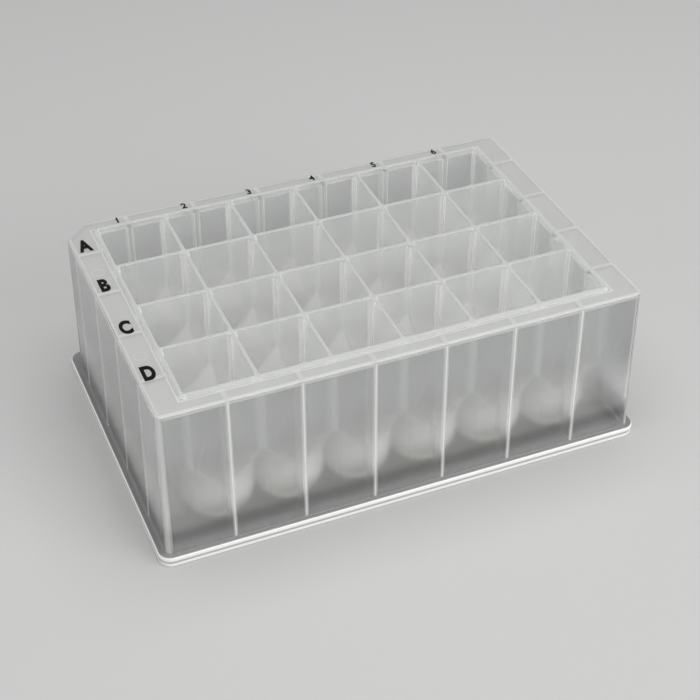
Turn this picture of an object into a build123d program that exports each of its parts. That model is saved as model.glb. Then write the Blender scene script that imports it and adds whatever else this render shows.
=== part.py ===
from build123d import *
from math import radians, sqrt, tan
from string import ascii_lowercase
import os

# A deep-well plate: one polypropylene moulding with square wells that end in round bottoms.
# Millimetres. The origin is at the middle of the base, +Z is up, the numbered columns run along
# +X and row A is at +Y.

# Overall size, on the standard microplate footprint
footprint_length = 127.76
footprint_width = 85.48
footprint_corner_radius = 3.18
plate_height = 45.0  # base to the sealing rim

# Base flange
flange_height = 2.8
flange_wall = 1.3
flange_top_round = 0.6
flange_base_round = 0.25
ledge_side = 1.6  # flat top of the flange, from its edge to the skirt, at the short sides
ledge_front = 1.2  # the same at the long sides
skirt_foot_round = 0.3

# Skirt and deck
skirt_wall = 1.1
skirt_draft = 0.8  # degrees, wider towards the base
skirt_corner_radius = 1.7
a1_chamfer = 6.2  # cut corner beside well A1
deck_drop = 0.8  # how far the deck lies below the sealing rim
deck_thickness = 1.1
deck_edge_round = 0.5

# Wells
well_columns = 6
well_rows = 4
well_pitch = 18.0
divider_thickness = 1.0
well_wall = 1.0  # rim, funnels and round bottoms
well_corner_radius = 0.5
well_draft = 0.3  # degrees, narrower towards the bottom
well_base_clearance = 0.5  # outside of the round bottoms above the base
bowl_inset = 0.3  # how far the round bottom's side lies inside the square opening's
bowl_straight = 6.6  # round stretch between the bottom's dome and the funnel above it
funnel_half_angle = 25.5  # degrees from vertical, from the round bottom out to the square corners
lip_round = 0.2
rim_foot_round = 0.35

# Ribs between the wells and the skirt, one at the middle of each well
rib_thickness = 1.1
rib_draft = 0.2  # degrees, thinner towards the base
rib_bite = 0.5  # how far a rib's root reaches into the well wall

deck_height = plate_height - deck_drop
deck_underside = deck_height - deck_thickness
skirt_flare = (deck_height - flange_height) * tan(radians(skirt_draft))
deck_length = footprint_length - 2 * (ledge_side + skirt_flare)
deck_width = footprint_width - 2 * (ledge_front + skirt_flare)
well_opening = well_pitch - divider_thickness
array_length = (well_columns - 1) * well_pitch + well_opening + 2 * well_wall
array_width = (well_rows - 1) * well_pitch + well_opening + 2 * well_wall
bowl_radius = well_opening / 2 - bowl_inset
dome_centre_height = well_base_clearance + well_wall + bowl_radius
funnel_foot_height = dome_centre_height + bowl_straight
funnel_slope = tan(radians(funnel_half_angle))
corner_reach = sqrt(2) * (well_opening / 2 - well_corner_radius) + well_corner_radius
square_foot_height = funnel_foot_height + (corner_reach - bowl_radius) / funnel_slope


def skirt_outline(inset):
    """Sketches the skirt's outline at deck level, moved inwards by inset."""
    Rectangle(deck_length, deck_width)
    a1_corner = vertices().group_by(Axis.X)[0].sort_by(Axis.Y)[-1]
    plain_corners = vertices().filter_by(lambda corner: corner != a1_corner)
    fillet(plain_corners, skirt_corner_radius)
    a1_corner = vertices().group_by(Axis.X)[0].sort_by(Axis.Y)[-1]
    chamfer(a1_corner, a1_chamfer)
    if inset:
        offset(amount=-inset, kind=Kind.INTERSECTION, mode=Mode.REPLACE)


def bowl_outline(wall):
    """Draws half the section of a well's round bottom and funnel, moved outwards by wall."""
    radius = bowl_radius + wall
    foot = funnel_foot_height - wall * tan(radians(funnel_half_angle) / 2)
    funnel_radius = well_opening + wall
    funnel_top = foot + (funnel_radius - radius) / funnel_slope
    dome = CenterArc((0, dome_centre_height), radius, -90, 90)
    Polyline(dome @ 1, (radius, foot), (funnel_radius, funnel_top), (funnel_radius, plate_height))
    Polyline((funnel_radius, plate_height), (0, plate_height), dome @ 0)


# Skirt and deck, still solid
with BuildPart() as skirt_block:
    with BuildSketch(Plane.XY.offset(deck_height)):
        skirt_outline(0)
    extrude(amount=-deck_height, taper=-skirt_draft)
    fillet(faces().sort_by(Axis.Z)[-1].edges(), deck_edge_round)

# Hollow under the deck
with BuildPart() as underside:
    with BuildSketch(Plane.XY.offset(deck_underside)):
        skirt_outline(skirt_wall)
    extrude(amount=-deck_underside, taper=-skirt_draft)

# The same hollow with the ribs left standing in it
with BuildPart() as ribbed_underside:
    add(underside.part)
    with BuildSketch(Plane.XY.offset(deck_height - deck_thickness / 2)):
        with GridLocations(well_pitch, deck_width, well_columns, 2):
            Rectangle(rib_thickness, deck_width - array_width + 2 * rib_bite)
        with GridLocations(deck_length, well_pitch, 2, well_rows):
            Rectangle(deck_length - array_length + 2 * rib_bite, rib_thickness)
    extrude(amount=-deck_height, taper=rib_draft, mode=Mode.SUBTRACT)

# Flange round the base
with BuildPart() as flange:
    with BuildSketch():
        RectangleRounded(footprint_length, footprint_width, footprint_corner_radius)
    extrude(amount=flange_height)
    fillet(faces().sort_by(Axis.Z)[-1].edges(), flange_top_round)
    fillet(faces().sort_by(Axis.Z)[0].edges(), flange_base_round)

with BuildPart() as flange_hollow:
    with BuildSketch():
        RectangleRounded(
            footprint_length - 2 * flange_wall,
            footprint_width - 2 * flange_wall,
            footprint_corner_radius - flange_wall,
        )
    extrude(amount=flange_height - flange_wall)

# One well from outside and inside
with BuildPart() as well_shell:
    with BuildSketch(Plane.XY.offset(plate_height)):
        Rectangle(well_opening + 2 * well_wall, well_opening + 2 * well_wall)
    extrude(amount=-plate_height)
    with BuildSketch(Plane.XZ):
        with BuildLine():
            bowl_outline(well_wall)
        make_face()
    revolve(axis=Axis.Z, mode=Mode.INTERSECT)

with BuildPart() as well_hollow:
    with BuildSketch(Plane.XY.offset(plate_height)):
        RectangleRounded(well_opening, well_opening, well_corner_radius)
    extrude(amount=-plate_height, taper=well_draft)
    with BuildSketch(Plane.XZ):
        with BuildLine():
            bowl_outline(0)
        make_face()
    revolve(axis=Axis.Z, mode=Mode.INTERSECT)

# All the wells' outsides, joined where neighbours share a divider
with BuildPart() as well_block:
    with GridLocations(well_pitch, well_pitch, well_columns, well_rows):
        add(well_shell.part)
    with BuildSketch():
        RectangleRounded(array_length, array_width, well_corner_radius + well_wall)
    extrude(amount=plate_height, mode=Mode.INTERSECT)

# The whole moulding
with BuildPart() as moulding:
    add(skirt_block.part)
    add(flange.part)
    add(flange_hollow.part, mode=Mode.SUBTRACT)
    add(ribbed_underside.part, mode=Mode.SUBTRACT)
    add(well_block.part)
    ledge = faces().filter_by(Axis.Z).filter_by_position(Axis.Z, flange_height, flange_height)[0]
    fillet(ledge.inner_wires()[0].edges(), skirt_foot_round)
    deck = faces().filter_by(Axis.Z).filter_by_position(Axis.Z, deck_height, deck_height)[0]
    fillet(deck.inner_wires()[0].edges(), rim_foot_round)
    with GridLocations(well_pitch, well_pitch, well_columns, well_rows):
        add(well_hollow.part, mode=Mode.SUBTRACT)
    lips = edges().group_by(Axis.Z)[-1]
    fillet(lips, lip_round)

# The moulding is parted into simpler pieces that meet face to face: the wells end just outside
# the rim's foot, and their square upper part ends where the funnels begin.
with BuildPart() as well_space:
    with BuildSketch():
        Rectangle(array_length + 2 * rim_foot_round, array_width + 2 * rim_foot_round)
    extrude(amount=plate_height)

with BuildPart() as skirt:
    add(moulding.part)
    add(underside.part, mode=Mode.SUBTRACT)
    add(well_space.part, mode=Mode.SUBTRACT)

with BuildPart() as ribs:
    add(moulding.part)
    add(underside.part, mode=Mode.INTERSECT)
    add(well_space.part, mode=Mode.SUBTRACT)

with BuildPart() as dividers:
    add(moulding.part)
    add(well_space.part, mode=Mode.INTERSECT)
    split(bisect_by=Plane.XY.offset(square_foot_height), keep=Keep.TOP)

with BuildPart() as well_bottoms:
    add(moulding.part)
    add(well_space.part, mode=Mode.INTERSECT)
    split(bisect_by=Plane.XY.offset(square_foot_height), keep=Keep.BOTTOM)
    for row in range(1, well_rows):
        split(bisect_by=Plane.XZ.offset((well_rows / 2 - row) * well_pitch), keep=Keep.BOTH)

os.makedirs("parts", exist_ok=True)
skirt.part.label = "skirt"
export_step(skirt.part, "parts/skirt.step")
ribs.part.label = "ribs"
export_step(ribs.part, "parts/ribs.step")
dividers.part.label = "dividers"
export_step(dividers.part, "parts/dividers.step")
for letter, bottoms in zip(ascii_lowercase, well_bottoms.solids().sort_by(Axis.Y, reverse=True)):
    with BuildPart() as row_bottoms:
        add(bottoms)
    row_bottoms.part.label = f"well_bottoms_{letter}"
    export_step(row_bottoms.part, f"parts/well_bottoms_{letter}.step")
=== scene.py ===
import math

import bmesh
import bpy
from mathutils import Matrix, Vector


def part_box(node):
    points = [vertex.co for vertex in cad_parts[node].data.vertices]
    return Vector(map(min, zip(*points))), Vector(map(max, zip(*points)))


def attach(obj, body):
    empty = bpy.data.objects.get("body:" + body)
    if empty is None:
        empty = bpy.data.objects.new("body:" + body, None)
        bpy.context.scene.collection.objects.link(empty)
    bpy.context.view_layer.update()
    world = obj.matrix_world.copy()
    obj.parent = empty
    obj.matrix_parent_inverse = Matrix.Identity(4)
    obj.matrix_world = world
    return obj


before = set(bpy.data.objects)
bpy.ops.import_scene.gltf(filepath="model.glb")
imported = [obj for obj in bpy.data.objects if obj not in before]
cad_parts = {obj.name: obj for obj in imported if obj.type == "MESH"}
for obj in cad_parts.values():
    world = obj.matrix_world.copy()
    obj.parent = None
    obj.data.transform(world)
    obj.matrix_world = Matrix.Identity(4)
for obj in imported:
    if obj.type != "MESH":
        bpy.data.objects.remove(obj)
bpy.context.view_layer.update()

# Metres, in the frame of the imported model: +X along the columns, +Y to row A, +Z up.
MM = 0.001


skirt_low, skirt_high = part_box("skirt")
dividers_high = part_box("dividers")[1]
base_z, rim_z, deck_z = skirt_low[2], dividers_high[2], skirt_high[2]
funnel_top_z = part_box("well_bottoms_a")[1][2]

# Sizes of the moulding that the looks follow
well_pitch = 18 * MM
divider_thickness = 1.0 * MM
well_corner_radius = 0.5 * MM
rib_thickness = 1.1 * MM
deck_thickness = 1.1 * MM
flange_height, groove_z = 2.8 * MM, 1.35 * MM
dome_centre_z, funnel_foot_z = base_z + 9.7 * MM, base_z + 16.3 * MM
bowl_middle_radius = 8.7 * MM
funnel_half_angle = math.radians(25.5)
skirt_draft = math.radians(0.8)
array_length, array_width = 109 * MM, 73 * MM
skirt_flare = (deck_z - flange_height) * math.tan(skirt_draft)
ledge_x, ledge_y = 1.6 * MM, 1.2 * MM
deck_length = 2 * (skirt_high[0] - ledge_x - skirt_flare)
deck_width = 2 * (skirt_high[1] - ledge_y - skirt_flare)
outer_well_x, outer_well_y = 2.5 * well_pitch, 1.5 * well_pitch

# Letters and numbers printed on the deck
letter_height, letter_x, first_letter_y, letter_pitch = 5.5 * MM, -58.3 * MM, 30.9 * MM, 18.5 * MM
letter_narrow, letter_bold = 0.62, 0.055
number_height, number_y, first_number_x = 2.5 * MM, 39.15 * MM, -47.4 * MM
number_narrow, number_bold = 0.86, 0.035
ink_thickness = 0.03 * MM

# Camera, at the photograph's angle
azimuth, elevation, roll = math.radians(-22.65), math.radians(37.9), math.radians(0.07)
aim = Vector((-13.2 * MM, -35.3 * MM, rim_z))
distance = 361.0 * MM
focal_length, sensor_width = 80.6, 36.0


# ---------------------------------------------------------------- materials

# A face lies square to an axis where its normal's part along that axis is above this
flat = 0.99
# Masks reach this far past the plane they stand for, so that they take in the face that lies in it
hair = 0.1 * MM
# Roughness and refractive indices of the plastic
surface_roughness, surface_ior, inside_ior = 0.38, 1.49, 1.45
# Clouds in the haze of the walls: grains of about 1 / scale of a metre, somewhat taller than wide
cloud_scale, cloud_detail, cloud_roughness, cloud_stretch = 55, 3, 0.55, (1, 1, 0.6)


class Nodes:
    """A material's node tree, with one short call a node."""

    def __init__(self, name):
        self.material = bpy.data.materials.new(name)
        self.material.use_nodes = True
        self.tree = self.material.node_tree
        self.tree.nodes.clear()
        self.output = self.tree.nodes.new("ShaderNodeOutputMaterial")
        geometry = self.add("ShaderNodeNewGeometry")
        self.position = geometry.outputs["Position"]
        self.x, self.y, self.z = self.add("ShaderNodeSeparateXYZ", {0: self.position}).outputs
        self.away_x, self.away_y = self.size(self.x), self.size(self.y)
        # A face seen from behind has its normal turned round, so only the normal's size is used
        normal = self.add("ShaderNodeSeparateXYZ", {0: geometry.outputs["True Normal"]}).outputs
        self.tilt_x, self.tilt_y, self.tilt_z = (self.size(part) for part in normal)
        self.facing_x, self.facing_y, self.facing_z = (
            self.above(part, flat) for part in (self.tilt_x, self.tilt_y, self.tilt_z)
        )
        # Distances to the nearest divider, and to the nearest rib, which stands at the middle of a well
        half = well_pitch / 2
        self.from_divider_x, self.from_divider_y = (
            self.math("PINGPONG", v, half) for v in (self.x, self.y)
        )
        self.from_rib_x, self.from_rib_y = (
            self.math("SUBTRACT", half, v) for v in (self.from_divider_x, self.from_divider_y)
        )

    def put(self, socket, value):
        if isinstance(value, bpy.types.NodeSocket):
            self.tree.links.new(value, socket)
        else:
            socket.default_value = value

    def add(self, kind, inputs=None, **settings):
        node = self.tree.nodes.new(kind)
        for key, value in settings.items():
            setattr(node, key, value)
        for key, value in (inputs or {}).items():
            self.put(node.inputs[key], value)
        return node

    def math(self, operation, *values, clamp=False):
        node = self.add("ShaderNodeMath", dict(enumerate(values)), operation=operation, use_clamp=clamp)
        return node.outputs[0]

    def size(self, value):
        return self.math("ABSOLUTE", value)

    def above(self, value, limit):
        return self.math("GREATER_THAN", value, limit)

    def below(self, value, limit):
        return self.math("LESS_THAN", value, limit)

    def near(self, value, target, reach):
        """1 where value lies within reach of target."""
        return self.math("COMPARE", value, target, reach)

    def ramp(self, value, start, end, low=0.0, high=1.0):
        """Runs smoothly from low, where value is start, to high, where it is end."""
        node = self.add("ShaderNodeMapRange", {
            "Value": value, "From Min": start, "From Max": end, "To Min": low, "To Max": high,
        }, interpolation_type="SMOOTHSTEP")
        return node.outputs[0]

    def line(self, value, target, reach):
        """1 within a quarter of reach from target, falling softly to 0 at reach from it."""
        return self.ramp(self.size(self.math("SUBTRACT", value, target)), reach, reach / 4)

    def times(self, mask, share):
        return self.math("MULTIPLY", mask, share)

    def both(self, *masks):
        total = masks[0]
        for mask in masks[1:]:
            total = self.math("MULTIPLY", total, mask)
        return total

    def any_of(self, *masks):
        total = masks[0]
        for mask in masks[1:]:
            total = self.math("MAXIMUM", total, mask)
        return total

    def unless(self, mask):
        return self.math("SUBTRACT", 1.0, mask)

    def noise(self, scale, detail, roughness, stretch=(1, 1, 1)):
        """Noise from -1 to 1, with grains of 1 / scale of a metre. A small stretch makes them longer."""
        spot = self.add("ShaderNodeVectorMath", {0: self.position, 1: stretch}, operation="MULTIPLY")
        grain = self.add("ShaderNodeTexNoise", {
            "Vector": spot.outputs[0], "Scale": scale, "Detail": detail, "Roughness": roughness,
        }).outputs["Fac"]
        return self.math("MULTIPLY_ADD", grain, 2.0, -1.0)

    def clouds(self):
        return self.noise(cloud_scale, cloud_detail, cloud_roughness, cloud_stretch)

    def mix_colour(self, share, first, second):
        return self.add("ShaderNodeMix", {0: share, 6: first, 7: second}, data_type="RGBA").outputs[2]

    def mix_shader(self, share, first, second):
        return self.add("ShaderNodeMixShader", {0: share, 1: first, 2: second}).outputs[0]

    def finish(self, surface):
        self.put(self.output.inputs["Surface"], surface)
        return self.material


def parting_faces(n):
    """1 on the faces where the moulding's nodes meet, which aren't surfaces of the moulding."""
    edge = 0.01 * MM
    side = n.both(n.facing_x, n.near(n.away_x, dividers_high[0], edge))
    front = n.both(n.facing_y, n.near(n.away_y, dividers_high[1], edge))
    rows = n.both(
        n.facing_y, n.below(n.from_divider_y, edge), n.below(n.away_y, outer_well_y),
        n.below(n.z, funnel_top_z + edge),
    )
    level = n.both(n.facing_z, n.near(n.z, funnel_top_z, edge))
    return n.any_of(side, front, rows, level)


def plastic(name, haze, edges, tint, edge_tint, see_tint, lamps_tint, blur, back_light):
    """Natural polypropylene.

    haze and edges give the share of light that a surface scatters, in tint and in edge_tint, and
    back_light the part of it that comes from behind. The rest shows what is behind, blurred and in
    see_tint, and lets the lamps through in lamps_tint. A tint or back_light is a value, or a function
    that builds it from the nodes.
    """
    n = Nodes(name)

    def built(value):
        return value(n) if callable(value) else value

    bright = edges(n)
    colour = n.mix_colour(bright, built(tint), built(edge_tint))
    solid = n.add("ShaderNodeBsdfPrincipled", {
        "Base Color": colour, "Roughness": surface_roughness, "IOR": surface_ior,
    }).outputs[0]
    back_lit = n.add("ShaderNodeBsdfTranslucent", {"Color": colour}).outputs[0]
    milky = n.mix_shader(built(back_light), solid, back_lit)
    frosted = n.add("ShaderNodeBsdfPrincipled", {
        "Base Color": built(see_tint), "Roughness": blur, "IOR": inside_ior, "Transmission Weight": 1.0,
    }).outputs[0]
    for_lamps = n.add("ShaderNodeBsdfTransparent", {"Color": built(lamps_tint)}).outputs[0]
    path = n.add("ShaderNodeLightPath").outputs
    see_through = n.mix_shader(n.any_of(path["Is Shadow Ray"], path["Is Diffuse Ray"]), frosted, for_lamps)
    surface = n.mix_shader(n.any_of(haze(n), bright), see_through, milky)
    nothing = n.add("ShaderNodeBsdfTransparent", {"Color": (1, 1, 1, 1)}).outputs[0]
    return n.finish(n.mix_shader(parting_faces(n), surface, nothing))


def on_long_side(n):
    """1 on the wells' outermost walls along the long sides, and outside them."""
    return n.above(n.away_y, array_width / 2 - hair)


def on_short_side(n):
    """The same along the short sides."""
    return n.above(n.away_x, array_length / 2 - hair)


def outermost(n):
    return n.any_of(on_long_side(n), on_short_side(n))


def rib_roots(n, half=rib_thickness / 2, soft=0.08 * MM):
    """1 where a rib's root stands behind a wall or under the deck."""
    start, end = half + soft, half - soft
    along_x = n.both(n.ramp(n.from_rib_x, start, end), on_long_side(n), n.any_of(n.facing_y, n.facing_z))
    along_y = n.both(n.ramp(n.from_rib_y, start, end), on_short_side(n), n.any_of(n.facing_x, n.facing_z))
    between = n.both(n.above(n.z, flange_height + hair), n.below(n.z, deck_z + 0.05 * MM))
    return n.both(n.any_of(along_x, along_y), between)


def deck_roots(n):
    """1 where the deck joins the skirt and the wells' outermost walls."""
    upright = n.any_of(n.both(n.facing_x, on_short_side(n)), n.both(n.facing_y, on_long_side(n)))
    deck_foot_z = deck_z - deck_thickness
    soft = n.ramp(n.z, deck_foot_z - 0.3 * MM, deck_foot_z + 0.2 * MM)
    return n.both(upright, soft, n.below(n.z, deck_z - hair))


def rib_sides(n):
    """Fine upright lines on the wells' outermost walls, along both sides of each rib's root."""
    beside, reach = rib_thickness / 2 + 0.1 * MM, 0.22 * MM
    along_x = n.both(n.line(n.from_rib_x, beside, reach), on_long_side(n), n.facing_y)
    along_y = n.both(n.line(n.from_rib_y, beside, reach), on_short_side(n), n.facing_x)
    return n.both(n.any_of(along_x, along_y), n.below(n.z, deck_z))


def weld_lines(n):
    """Fine lines on the skirt midway between its ribs, which curve towards a rib near the deck."""
    lean_foot_z, lean_height, lean_far = 20 * MM, 18 * MM, 6.2 * MM
    sway, sway_scale, reach = 0.25 * MM, 90, 0.2 * MM
    rise = n.math("DIVIDE", n.math("SUBTRACT", n.z, lean_foot_z), lean_height, clamp=True)
    lean = n.math("MULTIPLY", n.both(rise, rise), lean_far)
    lean = n.math("MULTIPLY_ADD", n.noise(sway_scale, 1, 0.5), sway, lean)
    half = well_pitch / 2
    beside_x, beside_y = (n.math("WRAP", v, half, -half) for v in (n.x, n.y))
    along_x = n.both(n.line(beside_x, lean, reach), on_long_side(n))
    along_y = n.both(n.line(n.math("MULTIPLY", beside_y, -1.0), lean, reach), on_short_side(n))
    fade_in, fade_out = n.ramp(n.z, 9 * MM, 14 * MM), n.ramp(n.z, 42 * MM, 27 * MM)
    return n.both(n.any_of(along_x, along_y), fade_in, fade_out)


def ejector_marks(n):
    """Faint rings that the ejector pins left on the deck beside the letters."""
    ring_radius, reach = 1.5 * MM, 0.25 * MM
    across_x = n.math("ADD", n.x, -letter_x)
    across_y = n.math("SUBTRACT", n.away_y, well_pitch)
    away = n.math("SQRT", n.math("ADD", n.both(across_x, across_x), n.both(across_y, across_y)))
    return n.both(n.line(away, ring_radius, reach), on_deck(n))


def on_deck(n):
    return n.both(n.facing_z, n.above(n.z, deck_z - deck_thickness - hair))


def deck_haze(n):
    """The deck is milkier over the skirt, the ribs and the wells' walls than between them."""
    between_share, more_over_walls = 0.5, 0.27
    # The haze over the skirt starts and is full this far inside the deck's edge, and the haze over the
    # wells' walls this far outside them
    skirt_start, skirt_full, wells_start, wells_full = 1.2 * MM, 0.8 * MM, 1.1 * MM, 0.6 * MM
    outer = n.any_of(
        n.ramp(n.away_x, deck_length / 2 - skirt_start, deck_length / 2 - skirt_full),
        n.ramp(n.away_y, deck_width / 2 - skirt_start, deck_width / 2 - skirt_full),
    )
    inner = n.both(
        n.ramp(n.away_x, array_length / 2 + wells_start, array_length / 2 + wells_full),
        n.ramp(n.away_y, array_width / 2 + wells_start, array_width / 2 + wells_full),
    )
    solid_below = n.any_of(outer, inner, rib_roots(n, soft=0.4 * MM))
    return n.both(on_deck(n), n.math("MULTIPLY_ADD", solid_below, more_over_walls, between_share))


def skirt_haze(n):
    """The skirt is clearest low down, with fine upright streaks, and milkier at its foot and higher up."""
    low_share, high_share, foot_share = 0.05, 0.18, 0.2
    streak_share, weld_share, root_share, ring_share, cloud_share = 0.04, 0.08, 0.5, 0.07, 0.02
    wall = n.ramp(n.z, 6 * MM, 36 * MM, low_share, high_share)
    wall = n.math("ADD", wall, n.ramp(n.z, 8 * MM, 3 * MM, 0.0, foot_share))
    streaks = n.noise(2200, 2, 0.6, (1, 1, 0.02))
    wall = n.math("MULTIPLY_ADD", streaks, n.ramp(n.z, 20 * MM, 8 * MM, 0.0, streak_share), wall)
    wall = n.math("MULTIPLY_ADD", weld_lines(n), weld_share, wall)
    haze = n.any_of(wall, deck_haze(n), n.times(deck_roots(n), root_share))
    haze = n.math("MULTIPLY_ADD", ejector_marks(n), ring_share, haze)
    return n.math("MULTIPLY_ADD", n.clouds(), cloud_share, haze, clamp=True)


def skirt_edges(n):
    """The flange, the rounding round the deck, the upright corners and the ribs' roots. The white on the
    rounding and the upright corners is partly thicker plastic and partly a painted highlight.
    """
    ledge_grey, groove_grey = 0.8, 0.5
    rounding_highlight_share, corner_share, root_share, core_share = 0.6, 0.6, 0.4, 0.72
    on_flange = n.below(n.z, flange_height + 0.02 * MM)
    ledge = n.ramp(n.tilt_z, 0.65, 0.85)
    groove = n.both(n.line(n.z, groove_z, 0.5 * MM), n.below(n.tilt_z, 0.2))
    grey = n.any_of(n.times(ledge, ledge_grey), n.times(groove, groove_grey))
    flange = n.both(on_flange, n.unless(grey))
    # Painted highlight, partly thicker plastic: the rounding round the deck and the upright corners are
    # whitened
    rounding = n.both(n.above(n.tilt_z, 0.55), n.below(n.tilt_z, 0.985), n.above(n.z, deck_z - 0.8 * MM))
    # The cut corner beside A1 is a flat face with both tilts
    chamfer = n.both(n.below(n.x, -50 * MM), n.above(n.y, 30 * MM))
    corner = n.both(n.ramp(n.both(n.tilt_x, n.tilt_y), 0.08, 0.5), n.unless(chamfer))
    upright = n.unless(n.facing_z)
    roots, cores = n.both(rib_roots(n), upright), n.both(rib_roots(n, 0.27 * MM, 0.12 * MM), upright)
    return n.any_of(
        flange, n.times(rounding, rounding_highlight_share), n.times(corner, corner_share),
        n.times(roots, root_share), n.times(cores, core_share),
    )


def skirt_tint(n):
    # Painted shade: the deck, which faces the overhead softbox, takes a darker tint than the skirt's walls
    return n.mix_colour(on_deck(n), skirt_wall_tint, deck_shaded_tint)


def skirt_see_tint(n):
    """Painted shade: the skirt darkens what shows through it at its foot, towards the deck and on the
    flange's ledge, so the plate's inside looks shaded there.
    """
    shaded_where = n.any_of(
        n.ramp(n.z, 14 * MM, 28 * MM), n.ramp(n.z, 11 * MM, 7.5 * MM),
        n.both(n.facing_z, n.near(n.z, flange_height, hair)),
    )
    return n.mix_colour(shaded_where, skirt_clear, skirt_shade_tint)


def skirt_lamps(n):
    """Lets hardly any light past at the foot, so that the floor shows dark below and between the bowls."""
    foot_share, wall_share = 0.03, 0.98
    return n.ramp(n.z, 8.5 * MM, 12 * MM, foot_share, wall_share)


def skirt_back_light(n):
    """The flange is thick, so it shows less of the light that comes from inside."""
    return n.ramp(n.z, 14 * MM, flange_height, usual_back_light, 0.08)


def well_lines(n):
    """The bright upright lines where the wells' corners begin."""
    start, reach = divider_thickness / 2 + well_corner_radius, 0.22 * MM
    beside = divider_thickness / 2 + 0.25 * MM
    one = n.both(n.near(n.from_divider_x, start, reach), n.below(n.from_divider_y, beside))
    other = n.both(n.near(n.from_divider_y, start, reach), n.below(n.from_divider_x, beside))
    return n.both(n.any_of(one, other), n.unless(outermost(n)), n.below(n.z, deck_z - hair))


def divider_haze(n):
    """The wells' walls, with milkier bands where something joins them."""
    wall_share, less_outermost, cloud_share, rim_share = 0.24, -0.04, 0.03, 0.5
    end_share, corner_share, root_share = 0.85, 0.75, 0.85
    # Soft upright bands on the wells' outsides, where the dividers end
    wide, narrow = 2.0 * MM, 0.3 * MM
    under_deck = n.below(n.z, deck_z - deck_thickness)
    ends = n.any_of(
        n.both(n.ramp(n.from_divider_x, wide, narrow), on_long_side(n)),
        n.both(n.ramp(n.from_divider_y, wide, narrow), on_short_side(n)),
    )
    outer = outermost(n)
    walls = n.math("MULTIPLY_ADD", outer, less_outermost, wall_share)
    walls = n.math("MULTIPLY_ADD", n.clouds(), cloud_share, walls)
    # A face that leans both ways lies in a well's corner, or in a bowl or a funnel, where only a cross
    # through its middle is left out
    corners = n.both(n.above(n.tilt_x, 0.12), n.above(n.tilt_y, 0.12))
    rim_side = n.both(outer, n.above(n.z, deck_z + 0.02 * MM))
    return n.any_of(
        walls, n.times(n.both(ends, under_deck), end_share), n.times(corners, corner_share),
        n.times(rib_roots(n, 0.85 * MM, 0.15 * MM), root_share), n.times(deck_roots(n), root_share),
        n.times(rim_side, rim_share),
    )


def divider_see_tint(n):
    """Painted shade: the outermost walls darken what shows through them more than the dividers do."""
    return n.mix_colour(outermost(n), divider_clear, divider_shade_tint)


def on_lip(n):
    """1 on the very top of the rim and the dividers."""
    return n.ramp(n.z, rim_z - 0.09 * MM, rim_z - 0.01 * MM)


def divider_edges(n):
    return n.any_of(on_lip(n), n.times(well_lines(n), 0.95), n.times(rib_sides(n), 0.8))


def divider_edge_tint(n):
    # Painted shade: the very tops of the rim and dividers, which face the overhead softbox, take a darker
    # tint than the rest of the plastic
    return n.mix_colour(on_lip(n), flange_tint, lip_shaded_tint)


def rib_haze(n):
    """A rib shows best end on, where it stands against the skirt and under the deck."""
    face_share, more_at_ends = 0.65, 0.2
    ends = n.any_of(
        n.both(n.facing_y, n.above(n.away_y, 39 * MM)), n.both(n.facing_x, n.above(n.away_x, 60 * MM)),
    )
    top = n.both(n.facing_z, n.above(n.z, 43 * MM))
    return n.math("MULTIPLY_ADD", n.any_of(ends, top), more_at_ends, face_share)


def rib_edges(n):
    """A rib's foot is solid, where it runs into the flange."""
    return n.ramp(n.z, flange_height + 0.8 * MM, flange_height + 0.2 * MM)


def radius_in_bowl(n):
    """The distance from a well's axis, as it would be with the dome and the funnel made straight."""
    drop = n.math("SUBTRACT", dome_centre_z, n.z, clamp=True)
    rise = n.math("SUBTRACT", n.z, funnel_foot_z, clamp=True)
    across = n.math("ADD", n.both(n.from_rib_x, n.from_rib_x), n.both(n.from_rib_y, n.from_rib_y))
    radius = n.math("SQRT", n.math("ADD", across, n.both(drop, drop)))
    return n.math("SUBTRACT", radius, n.math("MULTIPLY", rise, math.tan(funnel_half_angle)))


def facing_out(n):
    """1 on the outer half of the outer wells' bowls, which the light through the skirt reaches."""
    start, full = 1 * MM, 5 * MM
    return n.any_of(
        n.ramp(n.away_y, outer_well_y + start, outer_well_y + full),
        n.ramp(n.away_x, outer_well_x + start, outer_well_x + full),
    )


def bottom_haze(n):
    """Painted light: the bowls scatter most on the outsides that face out, low down, where the light
    through the skirt falls, so these show brighter; they scatter least on their other outsides.

    Where they lean both ways, they scatter at least the share of the wells' corners.
    """
    inside_share, less_outside, more_high_out, more_low_out = 0.47, -0.2, 0.2, 0.7
    bowls = n.any_of(n.above(n.tilt_z, 0.2), n.below(n.z, funnel_foot_z))
    outside = n.above(radius_in_bowl(n), bowl_middle_radius)
    # Painted light: the halves facing out, which the front light reaches through the skirt, are made
    # milkier so they show brighter
    more_where_lit = n.ramp(n.z, 10 * MM, 5 * MM, more_high_out, more_low_out)
    more = n.math("MULTIPLY_ADD", more_where_lit, facing_out(n), less_outside)
    share = n.math("MULTIPLY_ADD", outside, more, inside_share)
    return n.any_of(n.both(bowls, share), divider_haze(n))


def bottom_back_light(n):
    """The bowls' undersides glow with the light that falls into the wells, most where they face out."""
    usual_share, more_facing_out = 0.3, 0.7
    low = n.ramp(n.z, 4 * MM, 9 * MM, 0.85, 0.3)
    return n.both(low, n.math("MULTIPLY_ADD", facing_out(n), more_facing_out, usual_share))


def bottom_edges(n):
    """The wells' corner lines, and the arcs where the funnels run into the walls."""
    share = 0.7
    bowl_inner_radius = bowl_middle_radius - divider_thickness / 2
    arcs = n.both(
        n.line(radius_in_bowl(n), bowl_inner_radius, 0.3 * MM), n.below(n.tilt_z, 0.2),
        n.above(n.z, funnel_foot_z), n.unless(outermost(n)),
    )
    return n.any_of(n.times(well_lines(n), share), n.times(arcs, share))


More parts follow.
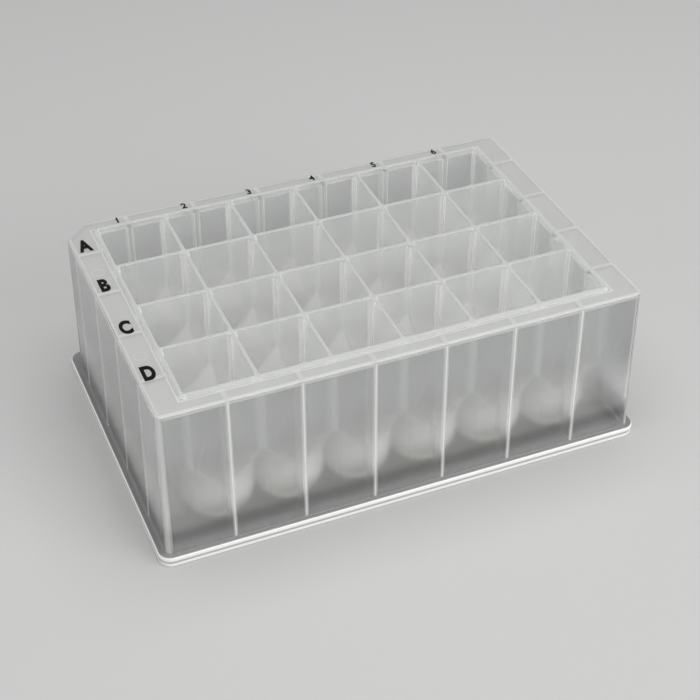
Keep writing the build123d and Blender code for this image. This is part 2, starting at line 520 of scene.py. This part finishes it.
def ink_paint():
    n = Nodes("ink")
    darkest, lightest = 0.003, 0.009
    shade = n.ramp(n.noise(3000, 3, 0.6), -0.6, 0.6, darkest, lightest)
    paint = n.add("ShaderNodeBsdfPrincipled", {
        "Base Color": shade, "Roughness": 0.8, "Specular IOR Level": 0.1,
    })
    return n.finish(paint.outputs[0])


def floor_paint():
    n = Nodes("floor_paint")
    paint = n.add("ShaderNodeBsdfPrincipled", {"Base Color": floor_tint, "Roughness": 0.8})
    return n.finish(paint.outputs[0])


# What is scattered
wall_tint = (0.955, 0.965, 0.955, 1)
skirt_wall_tint = (0.85, 0.86, 0.85, 1)
# Painted shade: the deck's top is darkened against the overhead softbox's light
deck_shaded_tint = (0.8, 0.805, 0.795, 1)
flange_tint = (0.97, 0.97, 0.96, 1)
# Painted shade: the lips' tops are darkened against the overhead softbox's light
lip_shaded_tint = (0.64, 0.65, 0.645, 1)
bowl_tint = (0.97, 0.965, 0.95, 1)
floor_tint = (0.48, 0.48, 0.477, 1)
# What is seen through a surface
clear = (0.98, 0.985, 0.985, 1)
# Painted shade: the second tint darkens what shows through the skirt's foot, its top and the flange's
# ledge
skirt_clear, skirt_shade_tint = (0.97, 0.975, 0.975, 1), (0.55, 0.555, 0.56, 1)
# Painted shade: the second tint darkens what shows through the wells' outermost walls
divider_clear, divider_shade_tint = (0.95, 0.955, 0.955, 1), (0.8, 0.81, 0.815, 1)
# What the lamps' light becomes on its way through a surface
unchanged, through_rib = (1, 1, 1, 1), (0.8, 0.8, 0.8, 1)
usual_back_light = 0.45

looks = {
    "skirt": plastic(
        "pp_skirt", skirt_haze, skirt_edges, skirt_tint, flange_tint, skirt_see_tint, skirt_lamps,
        blur=0.21, back_light=skirt_back_light,
    ),
    "ribs": plastic(
        "pp_ribs", rib_haze, rib_edges, wall_tint, flange_tint, clear, through_rib,
        blur=0.3, back_light=usual_back_light,
    ),
    "dividers": plastic(
        "pp_dividers", divider_haze, divider_edges, wall_tint, divider_edge_tint, divider_see_tint,
        unchanged, blur=0.13, back_light=usual_back_light,
    ),
}
bottoms = plastic(
    "pp_well_bottoms", bottom_haze, bottom_edges, bowl_tint, flange_tint, clear, unchanged,
    blur=0.18, back_light=bottom_back_light,
)
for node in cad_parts:
    bpy.data.objects[node].material_slots[0].material = looks.get(node, bottoms)


# ---------------------------------------------------------------- printed letters and numbers


def print_on_deck(text, x, y, height, narrow, bold, material):
    """Prints one character flat on the deck, with its middle at x, y. It reads from the front."""
    curve = bpy.data.curves.new("character", "FONT")
    curve.body, curve.offset, curve.resolution_u = text, bold, 6
    # Any depth will do, because the mesh is scaled to the ink's thickness
    curve.extrude = 0.1
    source = bpy.data.objects.new("character", curve)
    bpy.context.scene.collection.objects.link(source)
    mesh = bpy.data.meshes.new_from_object(source.evaluated_get(bpy.context.evaluated_depsgraph_get()))
    bpy.data.objects.remove(source)
    ends = [[pick(v.co[axis] for v in mesh.vertices) for pick in (min, max)] for axis in range(3)]
    middle = Vector([sum(pair) / 2 for pair in ends])
    scale = height / (ends[1][1] - ends[1][0])
    thin = ink_thickness / (ends[2][1] - ends[2][0])
    mesh.transform(
        Matrix.Translation((x, y, deck_z)) @ Matrix.Diagonal((scale * narrow, scale, thin, 1))
        @ Matrix.Translation(-middle)
    )
    shape = bmesh.new()
    shape.from_mesh(mesh)
    bmesh.ops.remove_doubles(shape, verts=shape.verts, dist=0.001 * MM)
    bmesh.ops.recalc_face_normals(shape, faces=shape.faces)
    shape.to_mesh(mesh)
    shape.free()
    mesh.materials.clear()
    mesh.materials.append(material)
    piece = bpy.data.objects.new(f"printed_{text}", mesh)
    bpy.context.scene.collection.objects.link(piece)
    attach(piece, "root")


ink = ink_paint()
for row, letter in enumerate("ABCD"):
    letter_y = first_letter_y - row * letter_pitch
    print_on_deck(letter, letter_x, letter_y, letter_height, letter_narrow, letter_bold, ink)
for column, number in enumerate("123456"):
    number_x = first_number_x + column * well_pitch
    print_on_deck(number, number_x, number_y, number_height, number_narrow, number_bold, ink)


# ---------------------------------------------------------------- stage


floor_size = 6.0
bpy.ops.mesh.primitive_plane_add(size=floor_size, location=(0, 0, base_z))
floor = bpy.context.object
floor.name = "floor"
floor.data.materials.append(floor_paint())


def area_light(name, place, aim_at, width, height, power):
    """A softbox of width by height metres, with its power in watts."""
    data = bpy.data.lights.new(name, "AREA")
    data.shape, data.size, data.size_y, data.energy = "RECTANGLE", width, height, power
    light = bpy.data.objects.new(name, data)
    light.location = place
    light.rotation_euler = (Vector(aim_at) - Vector(place)).to_track_quat("-Z", "Y").to_euler()
    bpy.context.scene.collection.objects.link(light)


area_light("overhead_softbox", (0.0, 0.0, 0.75), (0, 0, 0.03), 0.9, 0.7, 4.7)
area_light("front_softbox", (0.4, -0.72, 0.4), (0, 0, 0.02), 0.9, 0.5, 5.2)

area_light("left_softbox", (-0.8, -0.15, 0.35), (0, 0, 0.02), 0.6, 0.4, 1.2)

world = bpy.data.worlds.new("studio")
world.use_nodes = True
background = world.node_tree.nodes["Background"].inputs
sky_strength = 0.32
background["Color"].default_value = (1, 1, 1, 1)
background["Strength"].default_value = sky_strength
bpy.context.scene.world = world
bpy.context.scene.view_settings.view_transform = "Standard"

# ---------------------------------------------------------------- camera

back = Vector((
    math.sin(azimuth) * math.cos(elevation),
    -math.cos(azimuth) * math.cos(elevation),
    math.sin(elevation),
))
camera_data = bpy.data.cameras.new("camera")
camera_data.sensor_width, camera_data.lens = sensor_width, focal_length
camera = bpy.data.objects.new("camera", camera_data)
camera.location = aim + back * distance
camera.rotation_mode = "QUATERNION"
level = (-back).to_track_quat("-Z", "Y")
camera.rotation_quaternion = level @ Matrix.Rotation(roll, 3, "Z").to_quaternion()
bpy.context.scene.collection.objects.link(camera)
bpy.context.scene.camera = camera
